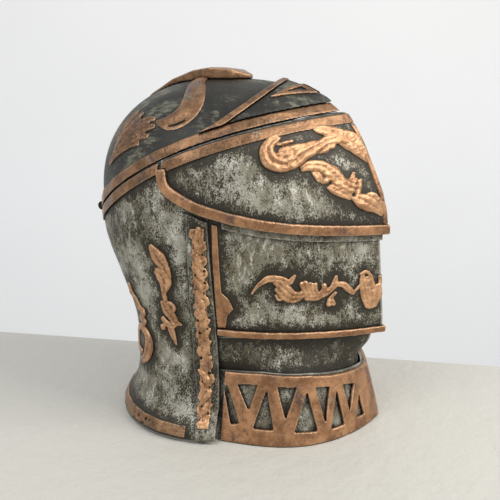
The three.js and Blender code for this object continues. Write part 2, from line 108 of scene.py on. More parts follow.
DOME_WIDTH, DOME_REAR, BROW_REACH = 95.0, 109.0, 125.0  # the skull above its shoulder
SIDE_CURVE, BROW_CURVE = 2.2, 2.6  # how full the dome is at the side and over the brow
BROAD_POWER, BROAD_CORNER = 4.2, 1.3  # how square the collar is
print("forms:", ", ".join(FORMS))

# %% [markdown]
# A section through a form is a plan view: an ellipse behind the widest place, and in front of it either a
# ridge like a ship's bow or the broad curve of the collar.

# %% The section at one height


def level(table, column, z):
    """The smooth value of one column of a form between its stated levels."""
    i = 0
    while i < len(table) - 2 and z > table[i + 1][0]:
        i += 1
    low, high = table[i], table[i + 1]
    before, after = table[max(i - 1, 0)], table[min(i + 2, len(table) - 1)]
    span = high[0] - low[0]
    t = min(max((z - low[0]) / span, -0.5), 1.5)
    straight = (high[column] - low[column]) / span
    slope_low = straight if i == 0 else (high[column] - before[column]) / (high[0] - before[0])
    slope_high = straight if high is after else (after[column] - low[column]) / (after[0] - low[0])
    return (low[column] * (2 * t**3 - 3 * t**2 + 1) + high[column] * (3 * t**2 - 2 * t**3)
            + slope_low * span * (t**3 - 2 * t**2 + t) + slope_high * span * (t**3 - t**2))


def section(form, z, lift):
    """Half width, reach to the rear, reach to the front and bluntness of a form at one height."""
    table = FORMS[form]
    if form != "skull":
        width = level(table, 1, z) + lift
        return width, width, level(table, 2, z) + lift, min(max(level(table, 3, z), 0), 1)
    if z <= SHOULDER:
        return level(table, 1, max(z, 0)) + lift, level(table, 2, max(z, 0)) + lift, BROW_REACH + lift, 0
    t = min((z - SHOULDER) / (CROWN - SHOULDER + lift), 1)
    side = (1 - t**SIDE_CURVE) ** (1 / SIDE_CURVE)
    brow = (1 - t**BROW_CURVE) ** (1 / BROW_CURVE)
    return (DOME_WIDTH + lift) * side, (DOME_REAR + lift) * side, (BROW_REACH + lift) * brow, 0


print("the neck is", round(2 * section("skull", 60, 0)[0]), "mm wide at its waist")

# %% Points and directions on a form


def front_curve(s, blunt):
    """Half width as a share, from 1 at the widest place (s is 0) to 0 at the front (s is 1)."""
    return (1 - s * s) * (1 - blunt) + (1 - s**BROAD_POWER) ** (1 / BROAD_CORNER) * blunt


def half_width(form, y, z, lift=0):
    """How far out the form reaches at a place given in the side view."""
    width, rear, front, blunt = section(form, z, lift)
    if y > CENTRE:
        return width * math.sqrt(max(1 - ((y - CENTRE) / max(rear, 0.01)) ** 2, 0))
    s = min((CENTRE - y) / max(front, 0.01), 1)
    return width * front_curve(s, blunt)


def on_form(form, turn, z, lift=0):
    """A point on the form: turn is 0 on the front ridge, 1 at the side and 2 at the rear."""
    width, rear, front, blunt = section(form, z, lift)
    far = abs(turn)
    if far > 1:
        angle = (2 - far) * math.pi / 2
        x, y = width * math.sin(angle), CENTRE + rear * math.cos(angle)
    else:
        s = 1 - far
        s = s * (1 - blunt) + math.sin(s * math.pi / 2) * blunt
        x = width * front_curve(s, blunt)
        y = CENTRE - front * s
    return Vector((math.copysign(x, turn), y + SLIDE, z)) * MM


def outward(form, y, z):
    """The left side's outward direction at a place given in the side view."""
    step = 1.5
    along = (half_width(form, y + step, z) - half_width(form, y - step, z)) / (2 * step)
    up = (half_width(form, y, z + step) - half_width(form, y, z - step)) / (2 * step)
    return Vector((-1, -along, -up)).normalized()


print("the cheek at its widest, in metres:", [round(v, 4) for v in on_form("skull", 1, 120)])

# %% [markdown]
# ## The room and the camera
# A white plastered room: a rough painted table top, a plain wall, and daylight from two large windows.
# Two small helpers come first, because the room's paint and every finish use them.

# %% Colour and shader nodes


def paint(code):
    """A display colour such as B07C54 as the linear colour that a shader wants."""
    values = [int(code[i:i + 2], 16) / 255 for i in (0, 2, 4)]
    return tuple(v / 12.92 if v <= 0.04045 else ((v + 0.055) / 1.055) ** 2.4 for v in values) + (1.0,)


def put(tree, kind, settings=None, **inputs):
    """Adds a shader node. An input is a value or another node's socket; _3 means input number 3."""
    made = tree.nodes.new("ShaderNode" + kind)
    for key, value in (settings or {}).items():
        setattr(made, key, value)
    for key, value in inputs.items():
        socket = made.inputs[int(key[1:])] if key[0] == "_" else made.inputs[key.replace("_", " ")]
        if isinstance(value, bpy.types.NodeSocket):
            tree.links.new(value, socket)
        else:
            socket.default_value = value
    return made


print("silver grey as a shader wants it:", [round(v, 3) for v in paint("B4B2A6")])

# %% [markdown]
# The camera stands a little above the helmet and looks at its -X cheek, from 65 cm away. That is close
# enough for the near side to look larger, as it does to the eye.

# %% The camera
AIM = Vector((0, -8.53, 140.38)) * MM
AWAY = 0.65
azimuth, elevation = math.radians(-70), math.radians(14)
back = Vector((math.sin(azimuth) * math.cos(elevation), -math.cos(azimuth) * math.cos(elevation),
               math.sin(elevation)))
bpy.ops.object.camera_add(location=AIM + back * AWAY)
camera = bpy.context.object
camera.rotation_mode = "QUATERNION"
camera.rotation_quaternion = (-back).to_track_quat("-Z", "Y")
camera.data.lens = 52.02
camera.data.sensor_width = 36
camera.data.clip_start = 0.01
bpy.context.scene.camera = camera
print("camera", [round(v, 3) for v in camera.location])

# %% [markdown]
# The table is a plane that ends behind the helmet, so that its far edge shows against the wall.

# %% The table and the wall
TABLE_REACH = 3
WALL_SIZE, WALL_AWAY = 12, 1.3
across = Vector((-back.y, back.x, 0)).normalized()
edge_start, edge_run = Vector((0.060, 0.315, -0.0005)), Vector((0.1635, -0.9865, 0))
edge_out = Vector((0.9865, 0.1635, 0))
bpy.ops.mesh.primitive_plane_add(size=1)
table = bpy.context.object
table.name = "table_top"
corners = [(-TABLE_REACH, -TABLE_REACH), (TABLE_REACH, -TABLE_REACH), (-TABLE_REACH, 0), (TABLE_REACH, 0)]
for vertex, (along, over) in zip(table.data.vertices, corners):
    vertex.co = edge_start + edge_run * along + edge_out * over
facing = Vector((-back.x, -back.y, 0)).normalized()
bpy.ops.mesh.primitive_plane_add(size=WALL_SIZE, location=facing * WALL_AWAY,
                                 rotation=(math.pi / 2, 0, math.atan2(-facing.x, facing.y)))
wall = bpy.context.object
wall.name = "wall"


def plain(name, code, rough, bump_size, bump_depth):
    """Matt wall or table paint with a fine texture."""
    material = bpy.data.materials.new(name)
    material.use_nodes = True
    tree = material.node_tree
    shader = tree.nodes["Principled BSDF"]
    where = put(tree, "TexCoord").outputs["Object"]
    grain = put(tree, "TexNoise", Vector=where, Scale=1 / bump_size, Detail=6.0, Roughness=0.6)
    broad = put(tree, "TexNoise", Vector=where, Scale=3.0, Detail=3.0)
    tint = put(tree, "Mix", {"data_type": "RGBA"}, _0=broad.outputs[0], _6=paint(code),
               _7=tuple(v * 0.94 for v in paint(code)[:3]) + (1.0,))
    bump = put(tree, "Bump", Height=grain.outputs[0], Distance=bump_depth, Strength=0.5)
    tree.links.new(tint.outputs[2], shader.inputs["Base Color"])
    tree.links.new(bump.outputs[0], shader.inputs["Normal"])
    shader.inputs["Roughness"].default_value = rough
    return material


table.data.materials.append(plain("white painted table top", "CBC9C1", 0.6, 0.02, 0.004))
wall.data.materials.append(plain("white plaster", "FAFAF9", 0.9, 0.05, 0.002))

print("room:", table.name, "and", wall.name)

# %% [markdown]
# Daylight bounces round a white room, so most of the light is even. One window stands to the front of the
# helmet and a weaker one behind the camera's left shoulder.

# %% The light
world = bpy.data.worlds.new("room light")
bpy.context.scene.world = world
world.use_nodes = True
world.node_tree.nodes["Background"].inputs["Color"].default_value = paint("F4F6FA")
world.node_tree.nodes["Background"].inputs["Strength"].default_value = 0.7
bpy.context.scene.view_settings.view_transform = "Standard"


def window(place, size, power, code):
    """A soft light that looks at the helmet."""
    bpy.ops.object.light_add(type="AREA", location=place)
    lamp = bpy.context.object
    lamp.rotation_mode = "QUATERNION"
    lamp.rotation_quaternion = (AIM - Vector(place)).to_track_quat("-Z", "Y")
    lamp.data.size = size
    lamp.data.energy = power
    lamp.data.color = paint(code)[:3]
    return lamp


window(AIM + back * 0.9 - across * 0.8 + Vector((0, 0, 1.0)), 0.9, 9, "FFFFFF")
window(AIM + back * 0.5 + across * 1.1 + Vector((0, 0, 0.8)), 0.8, 16, "FFFBF4")

# %% [markdown]
# ## The finishes
# Silver paint rubbed over black gives the plates their mottled pewter look. The dark cap is the same
# black ground with only a little grey dragged over it. The trim is copper wax over black, rubbed thin
# on the high places. Lighter edges on the pewter and copper, and darker hollows on every finish, are
# partly that wear and the black ground, and partly painted highlight and painted shade. Each finish is
# built up as the painter does it: a ground colour, then one thin coat after another, each through its
# own mask, most of them noise. A noise is set by the size of its spots in mm.

# %% Coats, masks and dirt


def start_material(name):
    material = bpy.data.materials.new(name)
    material.use_nodes = True
    tree = material.node_tree
    where = put(tree, "TexCoord").outputs["Object"]
    return material, tree, tree.nodes["Principled BSDF"], where


def cloud(tree, where, size_mm, detail=4.0, rough=0.6, stretch=(1, 1, 1), shift=0.0):
    """Noise whose spots are about size_mm across."""
    laid = put(tree, "Mapping", Vector=where, Scale=stretch, Location=(shift, shift, shift))
    return put(tree, "TexNoise", Vector=laid.outputs[0], Scale=1000 / size_mm, Detail=detail,
               Roughness=rough).outputs[0]


def above(tree, value, low, high, to_low=0.0, to_high=1.0):
    """Turns a value's run from low to high into another run, held at its ends."""
    return put(tree, "MapRange", _0=value, _1=low, _2=high, _3=to_low, _4=to_high).outputs[0]


def lay_over(tree, under, over, mask):
    """One colour laid over another where the mask is 1."""
    return put(tree, "Mix", {"data_type": "RGBA"}, _0=mask, _6=under, _7=over).outputs[2]


def both(tree, a, b, how="MULTIPLY"):
    return put(tree, "Math", {"operation": how}, _0=a, _1=b).outputs[0]


def hollow_shade(tree, reach_mm, low=0.55, high=0.95):
    """Painted shade from ambient occlusion: 1 in hollows and against neighbouring pieces, 0 on open surface.
    """
    shade = put(tree, "AmbientOcclusion", {"samples": 6}, Distance=reach_mm * MM).outputs["AO"]
    return above(tree, shade, low, high, 1.0, 0.0)


def finish_material(tree, shader, colour, rough, metal, height, depth_mm):
    bump = put(tree, "Bump", Height=height, Distance=depth_mm * MM, Strength=1.0)
    for socket, value in (("Base Color", colour), ("Roughness", rough), ("Normal", bump.outputs[0]),
                          ("Metallic", metal)):
        if isinstance(value, bpy.types.NodeSocket):
            tree.links.new(value, shader.inputs[socket])
        else:
            shader.inputs[socket].default_value = value


def trim_grime(tree):
    """1 against the trim and 0 well away from it, as the plates' own record of where dirt gathers."""
    return put(tree, "Attribute", {"attribute_name": "grime"}).outputs["Fac"]


print("coats and masks are ready")

# %% [markdown]
# ### Antique pewter
# Silver paint over black. Broad light and dark clouds come first, then rubbed bright streaks, olive stains,
# fine brown and black speckle that thickens along the trim, edges lightened partly by wear and partly
# with a painted highlight, and painted shade, with some black ground, in the hollows.

# %% Pewter paint


def pewter_paint(name, grime, light="B4B2A6", middle="7F7C6B"):
    """Silver paint rubbed over a black ground: mottled, speckled, with olive stains, and darker at the edges
    from speckled dirt and painted shade.
    """
    material, tree, shader, where = start_material(name)
    broad = cloud(tree, where, 34, 5.0, 0.65)
    colour = lay_over(tree, paint(middle), paint(light), above(tree, broad, 0.4, 0.6))
    rubbed = cloud(tree, where, 7, 8.0, 0.75, (1, 1, 0.5), 0.3)
    colour = lay_over(tree, colour, paint("D6D4C9"), above(tree, rubbed, 0.53, 0.6, 0, 0.85))
    stain = above(tree, cloud(tree, where, 16, 8.0, 0.75, (1, 1, 0.6), 0.7), 0.5, 0.64, 0, 0.75)
    colour = lay_over(tree, colour, paint("645A3C"), stain)
    specks = cloud(tree, where, 1.1, 3.0, 0.7, (1, 1, 0.8), 2.3)
    blots = cloud(tree, where, 5, 8.0, 0.8, (1, 1, 0.7), 5.1)
    fine = put(tree, "Mix", _0=0.5, _2=specks, _3=blots).outputs[0]
    patch = above(tree, cloud(tree, where, 26, 5.0, 0.6, (1, 1, 1), 1.9), 0.32, 0.68, -0.06, 0.08)
    dirt = both(tree, both(tree, trim_grime(tree), 0.15), patch, "ADD")
    spread = both(tree, fine, dirt, "ADD")
    brown = above(tree, spread, 0.485 - grime, 0.54 - grime, 0, 0.65)
    colour = lay_over(tree, colour, paint("5C533B"), brown)
    dark = above(tree, spread, 0.535 - grime, 0.57 - grime, 0, 0.95)
    colour = lay_over(tree, colour, paint("2C281F"), dark)
    # Lighter where the surface bends outward, on edges and rims: partly paint rubbed off, partly a painted
    # highlight.
    bend = put(tree, "NewGeometry").outputs["Pointiness"]
    colour = lay_over(tree, colour, paint("D6D4C9"), above(tree, bend, 0.52, 0.57, 0, 0.75))
    # Painted shade: darker in hollows and against the trim, partly the black ground left there.
    dark_ground_and_shade = both(tree, hollow_shade(tree, 9, 0.45, 0.95), 0.9)
    colour = lay_over(tree, colour, paint("1D1A15"), dark_ground_and_shade)
    rough = above(tree, fine, 0.3, 0.7, 0.34, 0.6)
    height = both(tree, both(tree, fine, 0.7), rubbed, "ADD")
    finish_material(tree, shader, colour, rough, 0.4, height, 0.6)
    return material


PEWTER = pewter_paint("antique pewter paint", 0.0)
PEWTER_DIRTY = pewter_paint("antique pewter paint, grimy", 0.045, "A09D8F", "706D5E")
# The throat's copy is darker all over: painted shade for the hollow under the face plate.
THROAT = pewter_paint("pewter paint in shadow", 0.06, "8A877A", "55524A")
print("made", PEWTER.name)

# %% [markdown]
# ### The dark cap
# Black paint with patches of greenish grey, dragged on from front to rear with an almost dry brush, and a
# few pale chips.

# %% Dry-brushed black


def black_paint(name, dragged):
    """Black ground with greenish grey dragged over it by an almost dry brush."""
    material, tree, shader, where = start_material(name)
    broad = cloud(tree, where, 36, 4.0, 0.6)
    colour = lay_over(tree, paint("1B1A17"), paint("302F29"), above(tree, broad, 0.38, 0.62))
    strokes = cloud(tree, where, 3.4, 8.0, 0.78, (1, 0.3, 1), 0.4)
    patch = above(tree, cloud(tree, where, 42, 4.0, 0.6, (1, 1, 1), 1.2), 0.42, 0.6, -0.12, 0.06)
    brushed = above(tree, both(tree, strokes, patch, "ADD"), 0.5 - dragged, 0.64 - dragged, 0, 0.8)
    colour = lay_over(tree, colour, paint("7C7B69"), brushed)
    chips = above(tree, cloud(tree, where, 1.5, 4.0, 0.7, (1, 1, 1), 2.7), 0.66, 0.7, 0, 0.6)
    colour = lay_over(tree, colour, paint("A5A294"), chips)
    # Painted shade: darker in hollows and against neighbouring pieces.
    colour = lay_over(tree, colour, paint("151310"), hollow_shade(tree, 8, 0.5, 0.95))
    rough = above(tree, strokes, 0.3, 0.7, 0.36, 0.6)
    finish_material(tree, shader, colour, rough, 0.25, strokes, 0.5)
    return material


BLACK = black_paint("dry-brushed black paint", 0.03)
print("made", BLACK.name)

# %% [markdown]
# ### Copper wax
# Wax with copper powder, rubbed on with a finger. It catches on edges and misses the folds: the edges are
# lightened partly by that and partly with a painted highlight, and the folds are darkened partly by the
# black ground and partly with painted shade. Purple brown tarnish, a little silver paint and fine pits
# break it up. The base rim also has small round nail holes.

# %% Copper wax


def copper_wax(name, dirt, light="D8A87E", middle="9C7250", holes=0.0):
    """Copper wax rubbed over black: lighter on the high places from wear and a painted highlight, pitted,
    and dark in the hollows from the black ground and painted shade.
    """
    material, tree, shader, where = start_material(name)
    broad = cloud(tree, where, 14, 5.0, 0.65)
    colour = lay_over(tree, paint(middle), paint(light), above(tree, broad, 0.38, 0.62))
    worn = above(tree, cloud(tree, where, 9, 8.0, 0.75, (1, 1, 1), 0.6), 0.57 - dirt, 0.7 - dirt, 0, 0.8)
    colour = lay_over(tree, colour, paint("6B4E38"), worn)
    purple = cloud(tree, where, 26, 6.0, 0.7, (1, 1, 1), 4.2)
    tarnish = above(tree, purple, 0.61 - dirt, 0.68 - dirt, 0, 0.75)
    colour = lay_over(tree, colour, paint("5B4A4C"), tarnish)
    smears = cloud(tree, where, 15, 6.0, 0.7, (1, 1, 1), 7.4)
    silver = above(tree, smears, 0.66 - dirt, 0.72 - dirt, 0, 0.6)
    colour = lay_over(tree, colour, paint("8F9080"), silver)
    fine = cloud(tree, where, 1.5, 6.0, 0.75, (1, 1, 1), 1.4)
    pits = above(tree, fine, 0.62 - dirt * 0.8, 0.67 - dirt * 0.8, 0, 0.9)
    colour = lay_over(tree, colour, paint("2E2219"), pits)
    if holes:
        spots = put(tree, "TexVoronoi", Vector=where, Scale=1000 / 8).outputs["Distance"]
        colour = lay_over(tree, colour, paint("17120D"), above(tree, spots, holes, holes + 0.05, 0.95, 0))
    # Lighter where the surface bends outward: partly wax rubbed thin, partly a painted highlight, weaker on
    # the dirtier copies. Darker where it folds inward: partly black ground, partly painted shade.
    bend = put(tree, "NewGeometry").outputs["Pointiness"]
    colour = lay_over(tree, colour, paint("EBC8A6"), above(tree, bend, 0.51, 0.56, 0, 0.7 - 6 * dirt))
    colour = lay_over(tree, colour, paint("2A1C12"), above(tree, bend, 0.45, 0.494, 0.95, 0))
    # Painted shade in hollows and against neighbouring pieces, with the black ground left there.
    dark_ground_and_shade = hollow_shade(tree, 3.0, 0.5, 0.94)
    colour = lay_over(tree, colour, paint("24180F"), both(tree, dark_ground_and_shade, 0.95))
    rough = above(tree, broad, 0.3, 0.7, 0.24, 0.42)
    height = both(tree, cloud(tree, where, 3.2, 4.0, 0.65), both(tree, fine, 0.4), "ADD")
    finish_material(tree, shader, colour, rough, 0.7, height, 0.6)
    return material


COPPER = copper_wax("copper wax, rubbed bright", 0.0)
DULL = copper_wax("copper wax, half rubbed", 0.03, "BC8D66", "876144")
BAND = copper_wax("copper wax on bands, dirty", 0.055, "A67E5C", "75573E")
PITTED = copper_wax("copper wax on the pitted rim", 0.055, "AE8763", "7C5F45", holes=0.2)
print("made", COPPER.name)

# %% [markdown]
# ### Iron
# The hinge and the visor's pins are plain iron, blackened in oil, and hardly seen.

# %% Blackened iron


def blackened_iron(name):
    """Plain iron, blackened in oil, with a little rust."""
    material, tree, shader, where = start_material(name)
    rust = above(tree, cloud(tree, where, 6, 6.0, 0.7), 0.52, 0.68)
    colour = lay_over(tree, paint("25241F"), paint("4A3424"), rust)
    rough = above(tree, rust, 0, 1, 0.4, 0.75)
    finish_material(tree, shader, colour, rough, 0.7, cloud(tree, where, 2), 0.3)
    return material


IRON = blackened_iron("oil-blackened iron")
print("materials", len(bpy.data.materials))

# %% [markdown]
# ## Working steps that come back
# A plate starts as a flat grid, is raised over its form, given its thickness and trimmed with cutters.
# Cast and beaten pieces are then fused into an even skin and smoothed, which rounds their edges as
# casting and painting do.

# %% Selecting, and applying one modifier


def only(piece):
    """Selects one object and nothing else."""
    if bpy.context.object and bpy.context.object.mode != "OBJECT":
        bpy.ops.object.mode_set(mode="OBJECT")
    bpy.ops.object.select_all(action="DESELECT")
    piece.select_set(True)
    bpy.context.view_layer.objects.active = piece


def apply(piece, kind, **settings):
    """Adds one modifier, sets it and applies it."""
    only(piece)
    bpy.ops.object.modifier_add(type=kind)
    modifier = piece.modifiers[-1]
    for key, value in settings.items():
        setattr(modifier, key, value)
    bpy.ops.object.modifier_apply(modifier=modifier.name)


# %% [markdown]
# ### Raising a plate
# A smith raises a plate from a flat sheet. The grid's columns are laid round the form and its rows up it,
# its outside is turned outward, and Solidify gives the sheet its thickness inward.

# %% Raising
PLATE_CORE = Vector((0, 0.01, 0.13))  # a place inside the helmet: outward is away from it


def raise_plate(name, form, low, high, outer, inner, reach=2.0, across=200, up=80):
    """A closed sheet between two heights of a form, from its outer lift down to its inner lift."""
    bpy.ops.object.select_all(action="DESELECT")
    bpy.ops.mesh.primitive_grid_add(x_subdivisions=across, y_subdivisions=up, size=2)
    plate = bpy.context.object
    plate.name = name
    top = CROWN + outer
    for vertex in plate.data.vertices:
        turn, climb = reach * vertex.co.x, (vertex.co.y + 1) / 2
        if form == "skull" and high >= CROWN:
            climb = math.sin(climb * math.pi / 2)
            z = low + (top - low) * climb
        else:
            z = low + (high - low) * climb
        vertex.co = on_form(form, turn, z, outer)
    only(plate)
    bpy.ops.object.mode_set(mode="EDIT")
    bpy.ops.mesh.select_all(action="SELECT")
    bpy.ops.mesh.remove_doubles(threshold=0.00002)
    bpy.ops.mesh.normals_make_consistent(inside=False)
    bpy.ops.object.mode_set(mode="OBJECT")
    faces = plate.data.polygons
    if sum(face.normal.dot(face.center - PLATE_CORE) > 0 for face in faces) * 2 < len(faces):
        bpy.ops.object.mode_set(mode="EDIT")
        bpy.ops.mesh.flip_normals()
        bpy.ops.object.mode_set(mode="OBJECT")
    apply(plate, "SOLIDIFY", thickness=(outer - inner) * MM, offset=-1, use_even_offset=True)
    return plate


print("plates can be raised over", len(FORMS), "forms")

# %% [markdown]
# ### Trimming
# A plate's edge is a straight or curved cut in the side view, so the shears are a block that runs right
# through the helmet from side to side.

# %% Trimming
BLOCK_HALF = 0.2  # metres: the blocks are wider than the helmet


def side_block(points):
    """A block whose outline is given in the side view, in mm, and which runs along X."""
    bpy.ops.object.select_all(action="DESELECT")
    bpy.ops.mesh.primitive_circle_add(vertices=len(points), radius=1, fill_type="NGON")
    block = bpy.context.object
    for vertex, (y, z) in zip(block.data.vertices, points):
        vertex.co = (-BLOCK_HALF, (y + SLIDE) * MM, z * MM)
    bpy.ops.object.mode_set(mode="EDIT")
    bpy.ops.mesh.select_all(action="SELECT")
    bpy.ops.mesh.extrude_region_move(TRANSFORM_OT_translate={"value": (2 * BLOCK_HALF, 0, 0)})
    bpy.ops.mesh.select_all(action="SELECT")
    bpy.ops.mesh.normals_make_consistent(inside=False)
    bpy.ops.object.mode_set(mode="OBJECT")
    return block


def trim(piece, cutter, keep_inside=False):
    """Cuts the piece with a block, and throws the block away."""
    apply(piece, "BOOLEAN", object=cutter, operation="INTERSECT" if keep_inside else "DIFFERENCE",
          solver="MANIFOLD")
    bpy.data.objects.remove(cutter)
    return piece


print("trimming blocks are", 2 * BLOCK_HALF, "m wide")

# %% [markdown]
# ### Fusing and settling
# A voxel remesh lays one even skin over overlapping rolls, as a mould does, and smoothing takes the sharp
# edges off. A finished piece is kept inside the CAD's box, smooth shaded, and told which body it rides.

# %% Fusing and settling
BROAD_WAVE, SMALL_WAVE = 9 * MM, 4 * MM  # the sizes of hand-made unevenness
SOFT_EDGE = math.radians(50)  # an edge sharper than this stays sharp


def fuse(piece, grain_mm, rounds, unevenness=0.0):
    """An even skin over the piece, smoothed, with a little hand-made unevenness."""
    apply(piece, "REMESH", mode="VOXEL", voxel_size=grain_mm * MM)
    if rounds:
        apply(piece, "SMOOTH", factor=0.5, iterations=rounds)
    if unevenness:
        for vertex in piece.data.vertices:
            broad, small = (noise.noise_vector(vertex.co / size) for size in (BROAD_WAVE, SMALL_WAVE))
            vertex.co += (broad + 0.5 * small) * unevenness * MM
    return piece


def settle(piece, name, body, slot, material, *nodes):
    """Names the finished piece and gives it its finish and its place in the frame."""
    piece.name = name
    for vertex in piece.data.vertices:
        vertex.co = Vector(min(max(v, a), b) for v, a, b in zip(vertex.co, *start_bounds))
    piece.data.materials.clear()
    piece.data.materials.append(material)
    only(piece)
    bpy.ops.object.shade_smooth_by_angle(angle=SOFT_EDGE)
    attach(piece, body)
    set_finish(piece, slot)
    if nodes:
        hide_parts(*nodes)
    print(name, len(piece.data.polygons), "faces")
    return piece


print("the box to stay in is", [round((b - a) / MM, 1) for a, b in zip(*start_bounds)], "mm")

# %% [markdown]
# ### Lines and the seam
# A smooth line through a few points draws the visor's lower edge and every roll of clay. The seam between
# the cap and the helmet is one long arc in the side view, so a large drum cuts it.

# %% Lines and the seam


def smooth_line(points, steps=8):
    """A smooth line through points, as closely spaced points."""
    line = []
    for i in range(len(points) - 1):
        a, b, c, d = (Vector(points[min(max(k, 0), len(points) - 1)]) for k in (i - 1, i, i + 1, i + 2))
        for step in range(steps):
            t = step / steps
            line.append(0.5 * (2 * b + (c - a) * t + (2 * a - 5 * b + 4 * c - d) * t * t
                               + (3 * b - a - 3 * c + d) * t**3))
    line.append(Vector(points[-1]))
    return line


def offset(line, distance):
    """The line moved to its left, in the side view."""
    moved = []
    for i, point in enumerate(line):
        run = Vector(line[min(i + 1, len(line) - 1)]) - Vector(line[max(i - 1, 0)])
        run.normalize()
        moved.append((point[0] - run[1] * distance, point[1] + run[0] * distance))
    return moved


SEAM_RADIUS = 420.0
brow_end, hinge_end = Vector((-89, 265)), Vector((128, 170))
chord = hinge_end - brow_end
middle = (brow_end + hinge_end) / 2
depth = math.sqrt(SEAM_RADIUS**2 - (chord.length / 2) ** 2)
seam_centre = middle - Vector((-chord.y, chord.x)).normalized() * depth


def seam_drum(change):
    """A drum as large as the seam's arc, a little larger or smaller: inside it is below the seam."""
    bpy.ops.object.select_all(action="DESELECT")
    bpy.ops.mesh.primitive_cylinder_add(
        vertices=360, radius=(SEAM_RADIUS + change) * MM, depth=0.4,
        location=(0, (seam_centre.x + SLIDE) * MM, seam_centre.y * MM), rotation=(0, math.pi / 2, 0))
    drum = bpy.context.object
    bpy.ops.object.transform_apply(location=True, rotation=True, scale=True)
    return drum


print("seam centre in the side view", [round(v, 1) for v in seam_centre])

# %% [markdown]
# ## The plates
# Neck shell, skull cap, visor, face, throat and collar backing, each raised over its form. The neck and
# the cap are the thicker shells. The neck's front is cut away from the cheeks up to the brow, and a strip
# of it runs on under the brow to close the view into the helmet.

# %% Neck shell and skull cap
SHELL, SHEET = 2.6, 2.2  # thicknesses in mm
SEAM_GAP = 0.3  # each side of the seam
CHEEK_FRONT, SIGHT_TOP = -3, 236
FAR = 160  # past the front of the helmet

neck = raise_plate("neck", "skull", 0, 272, 0, -SHELL, 2.0, 240, 124)
neck = trim(neck, seam_drum(-SEAM_GAP), keep_inside=True)
opening = [(-FAR, -20), (CHEEK_FRONT, -20), (CHEEK_FRONT, SIGHT_TOP), (-FAR, SIGHT_TOP)]
neck = trim(neck, side_block(opening))
plates = [neck]
settle(neck, "neck_shell_plate", "helmet", "pewter_plate", PEWTER, "neck_shell")

cap = raise_plate("cap", "skull", 150, CROWN, 0, -SHELL, 2.0, 280, 80)
cap = trim(cap, seam_drum(SEAM_GAP))
plates.append(cap)
settle(cap, "skull_cap_shell", "cap", "charcoal_plate", BLACK, "skull_cap")

# %% [markdown]
# The visor stands 6 mm outside the skull, so that it can swing up over it. Its lower edge is a long curve
# that drops from the temple to the front. Behind the temple it is cut off straight, under its bead.

# %% Visor
VISOR_LOW = smooth_line([(35, 223), (31, 209), (19, 200), (-8, 188.5), (-65, 174), (-FAR, 160)])
TEMPLE = 31

visor = raise_plate("visor", "visor", 152, 284, 0, -SHEET, 1.16, 200, 90)
visor = trim(visor, seam_drum(-0.8), keep_inside=True)
visor = trim(visor, side_block([tuple(p) for p in VISOR_LOW] + [(-FAR, 100), (60, 100), (60, 223)]))
visor = trim(visor, side_block([(TEMPLE, 100), (80, 100), (80, 300), (TEMPLE, 300)]))
plates.append(visor)
settle(visor, "visor_shell", "visor", "pewter_plate", PEWTER, "visor_plate")

# %% [markdown]
# The face plate comes forward to a soft ridge and ends in a ledge. The throat under it falls back in a
# hollow, and the collar's backing is the sheet that shows through the lattice. All three stop short of
# the neck shell's front edge, where the cheek strip covers the joint.

# %% Face, throat and collar backing
STOP = CHEEK_FRONT - 0.5

face = raise_plate("face", "face", 70, 188, 0, -SHEET, 1.0, 180, 80)
face = trim(face, side_block([(-FAR, 60), (-3.3, 60), (-3.3, 89), (-FAR, 75.5)]))
face = trim(face, side_block([(STOP, 60), (60, 60), (60, 200), (STOP, 200)]))
settle(face, "face_plate_shell", "helmet", "pewter_plate", PEWTER, "face_plate")

throat = raise_plate("throat", "throat", 46, 86, 0, -SHEET, 1.0, 160, 40)
throat = trim(throat, side_block([(STOP, 30), (60, 30), (60, 100), (STOP, 100)]))
settle(throat, "throat_shell", "helmet", "pewter_plate", THROAT, "throat_plate")

COLLAR_TOP = [(-FAR, 36), (-111, 47.5), (-80, 55), (-45, 58), (-8, 56.5)]
collar = raise_plate("collar", "collar", 0, 60, -3.2, -5.2, 1.0, 180, 60)
collar = trim(collar, side_block(COLLAR_TOP + [(-8, 90), (-FAR, 90)]))
collar = trim(collar, side_block([(-8, -10), (60, -10), (60, 80), (-8, 80)]))
settle(collar, "collar_backing", "helmet", "pewter_plate", PEWTER, "collar_plate")
plates += [face, throat, collar]
print("plates", [plate.name for plate in plates])

# %% [markdown]
# ## The collar lattice
# One thick sheet with nine windows cut through each side, square to its surface, then softened. A window's
# corners are written as (forward, up): forward is a share of the collar's front reach, up is in mm. The
# windows lean this way and that, which leaves the zigzag of bars between them.

# %% The windows' outlines
WINDOWS = [[(0.235, 46), (0.262, 46), (0.33, 16), (0.278, 14)], [(0.325, 48), (0.455, 49), (0.39, 27)],
           [(0.507, 46), (0.53, 13), (0.412, 13)], [(0.572, 48), (0.68, 47), (0.6, 21)],
           [(0.73, 43), (0.64, 11), (0.757, 10)], [(0.774, 45), (0.842, 43), (0.797, 14)],
           [(0.87, 39), (0.818, 9), (0.878, 9)], [(0.9, 41), (0.945, 38), (0.907, 17)],
           [(0.955, 28), (0.928, 10), (0.96, 9)]]
COLLAR_REAR = -13.8  # the lattice stops short of the cheek strip
COLLAR_KEPT = [(COLLAR_REAR, -20), (COLLAR_REAR, 56.7)] + COLLAR_TOP[-2::-1] + [(-FAR, -20)]
print("windows on each side", len(WINDOWS))

# %% Cutting the windows
WINDOW_INNER, WINDOW_OUTER = -8, 4  # mm: a cutter runs from under the sheet to above it


def collar_point(forward, z, lift, side):
    """A point on the collar, from a share of its front reach and a height."""
    width, _, reach, _ = section("collar", z, lift)
    return Vector((side * width * front_curve(forward, 1), CENTRE - reach * forward + SLIDE, z)) * MM


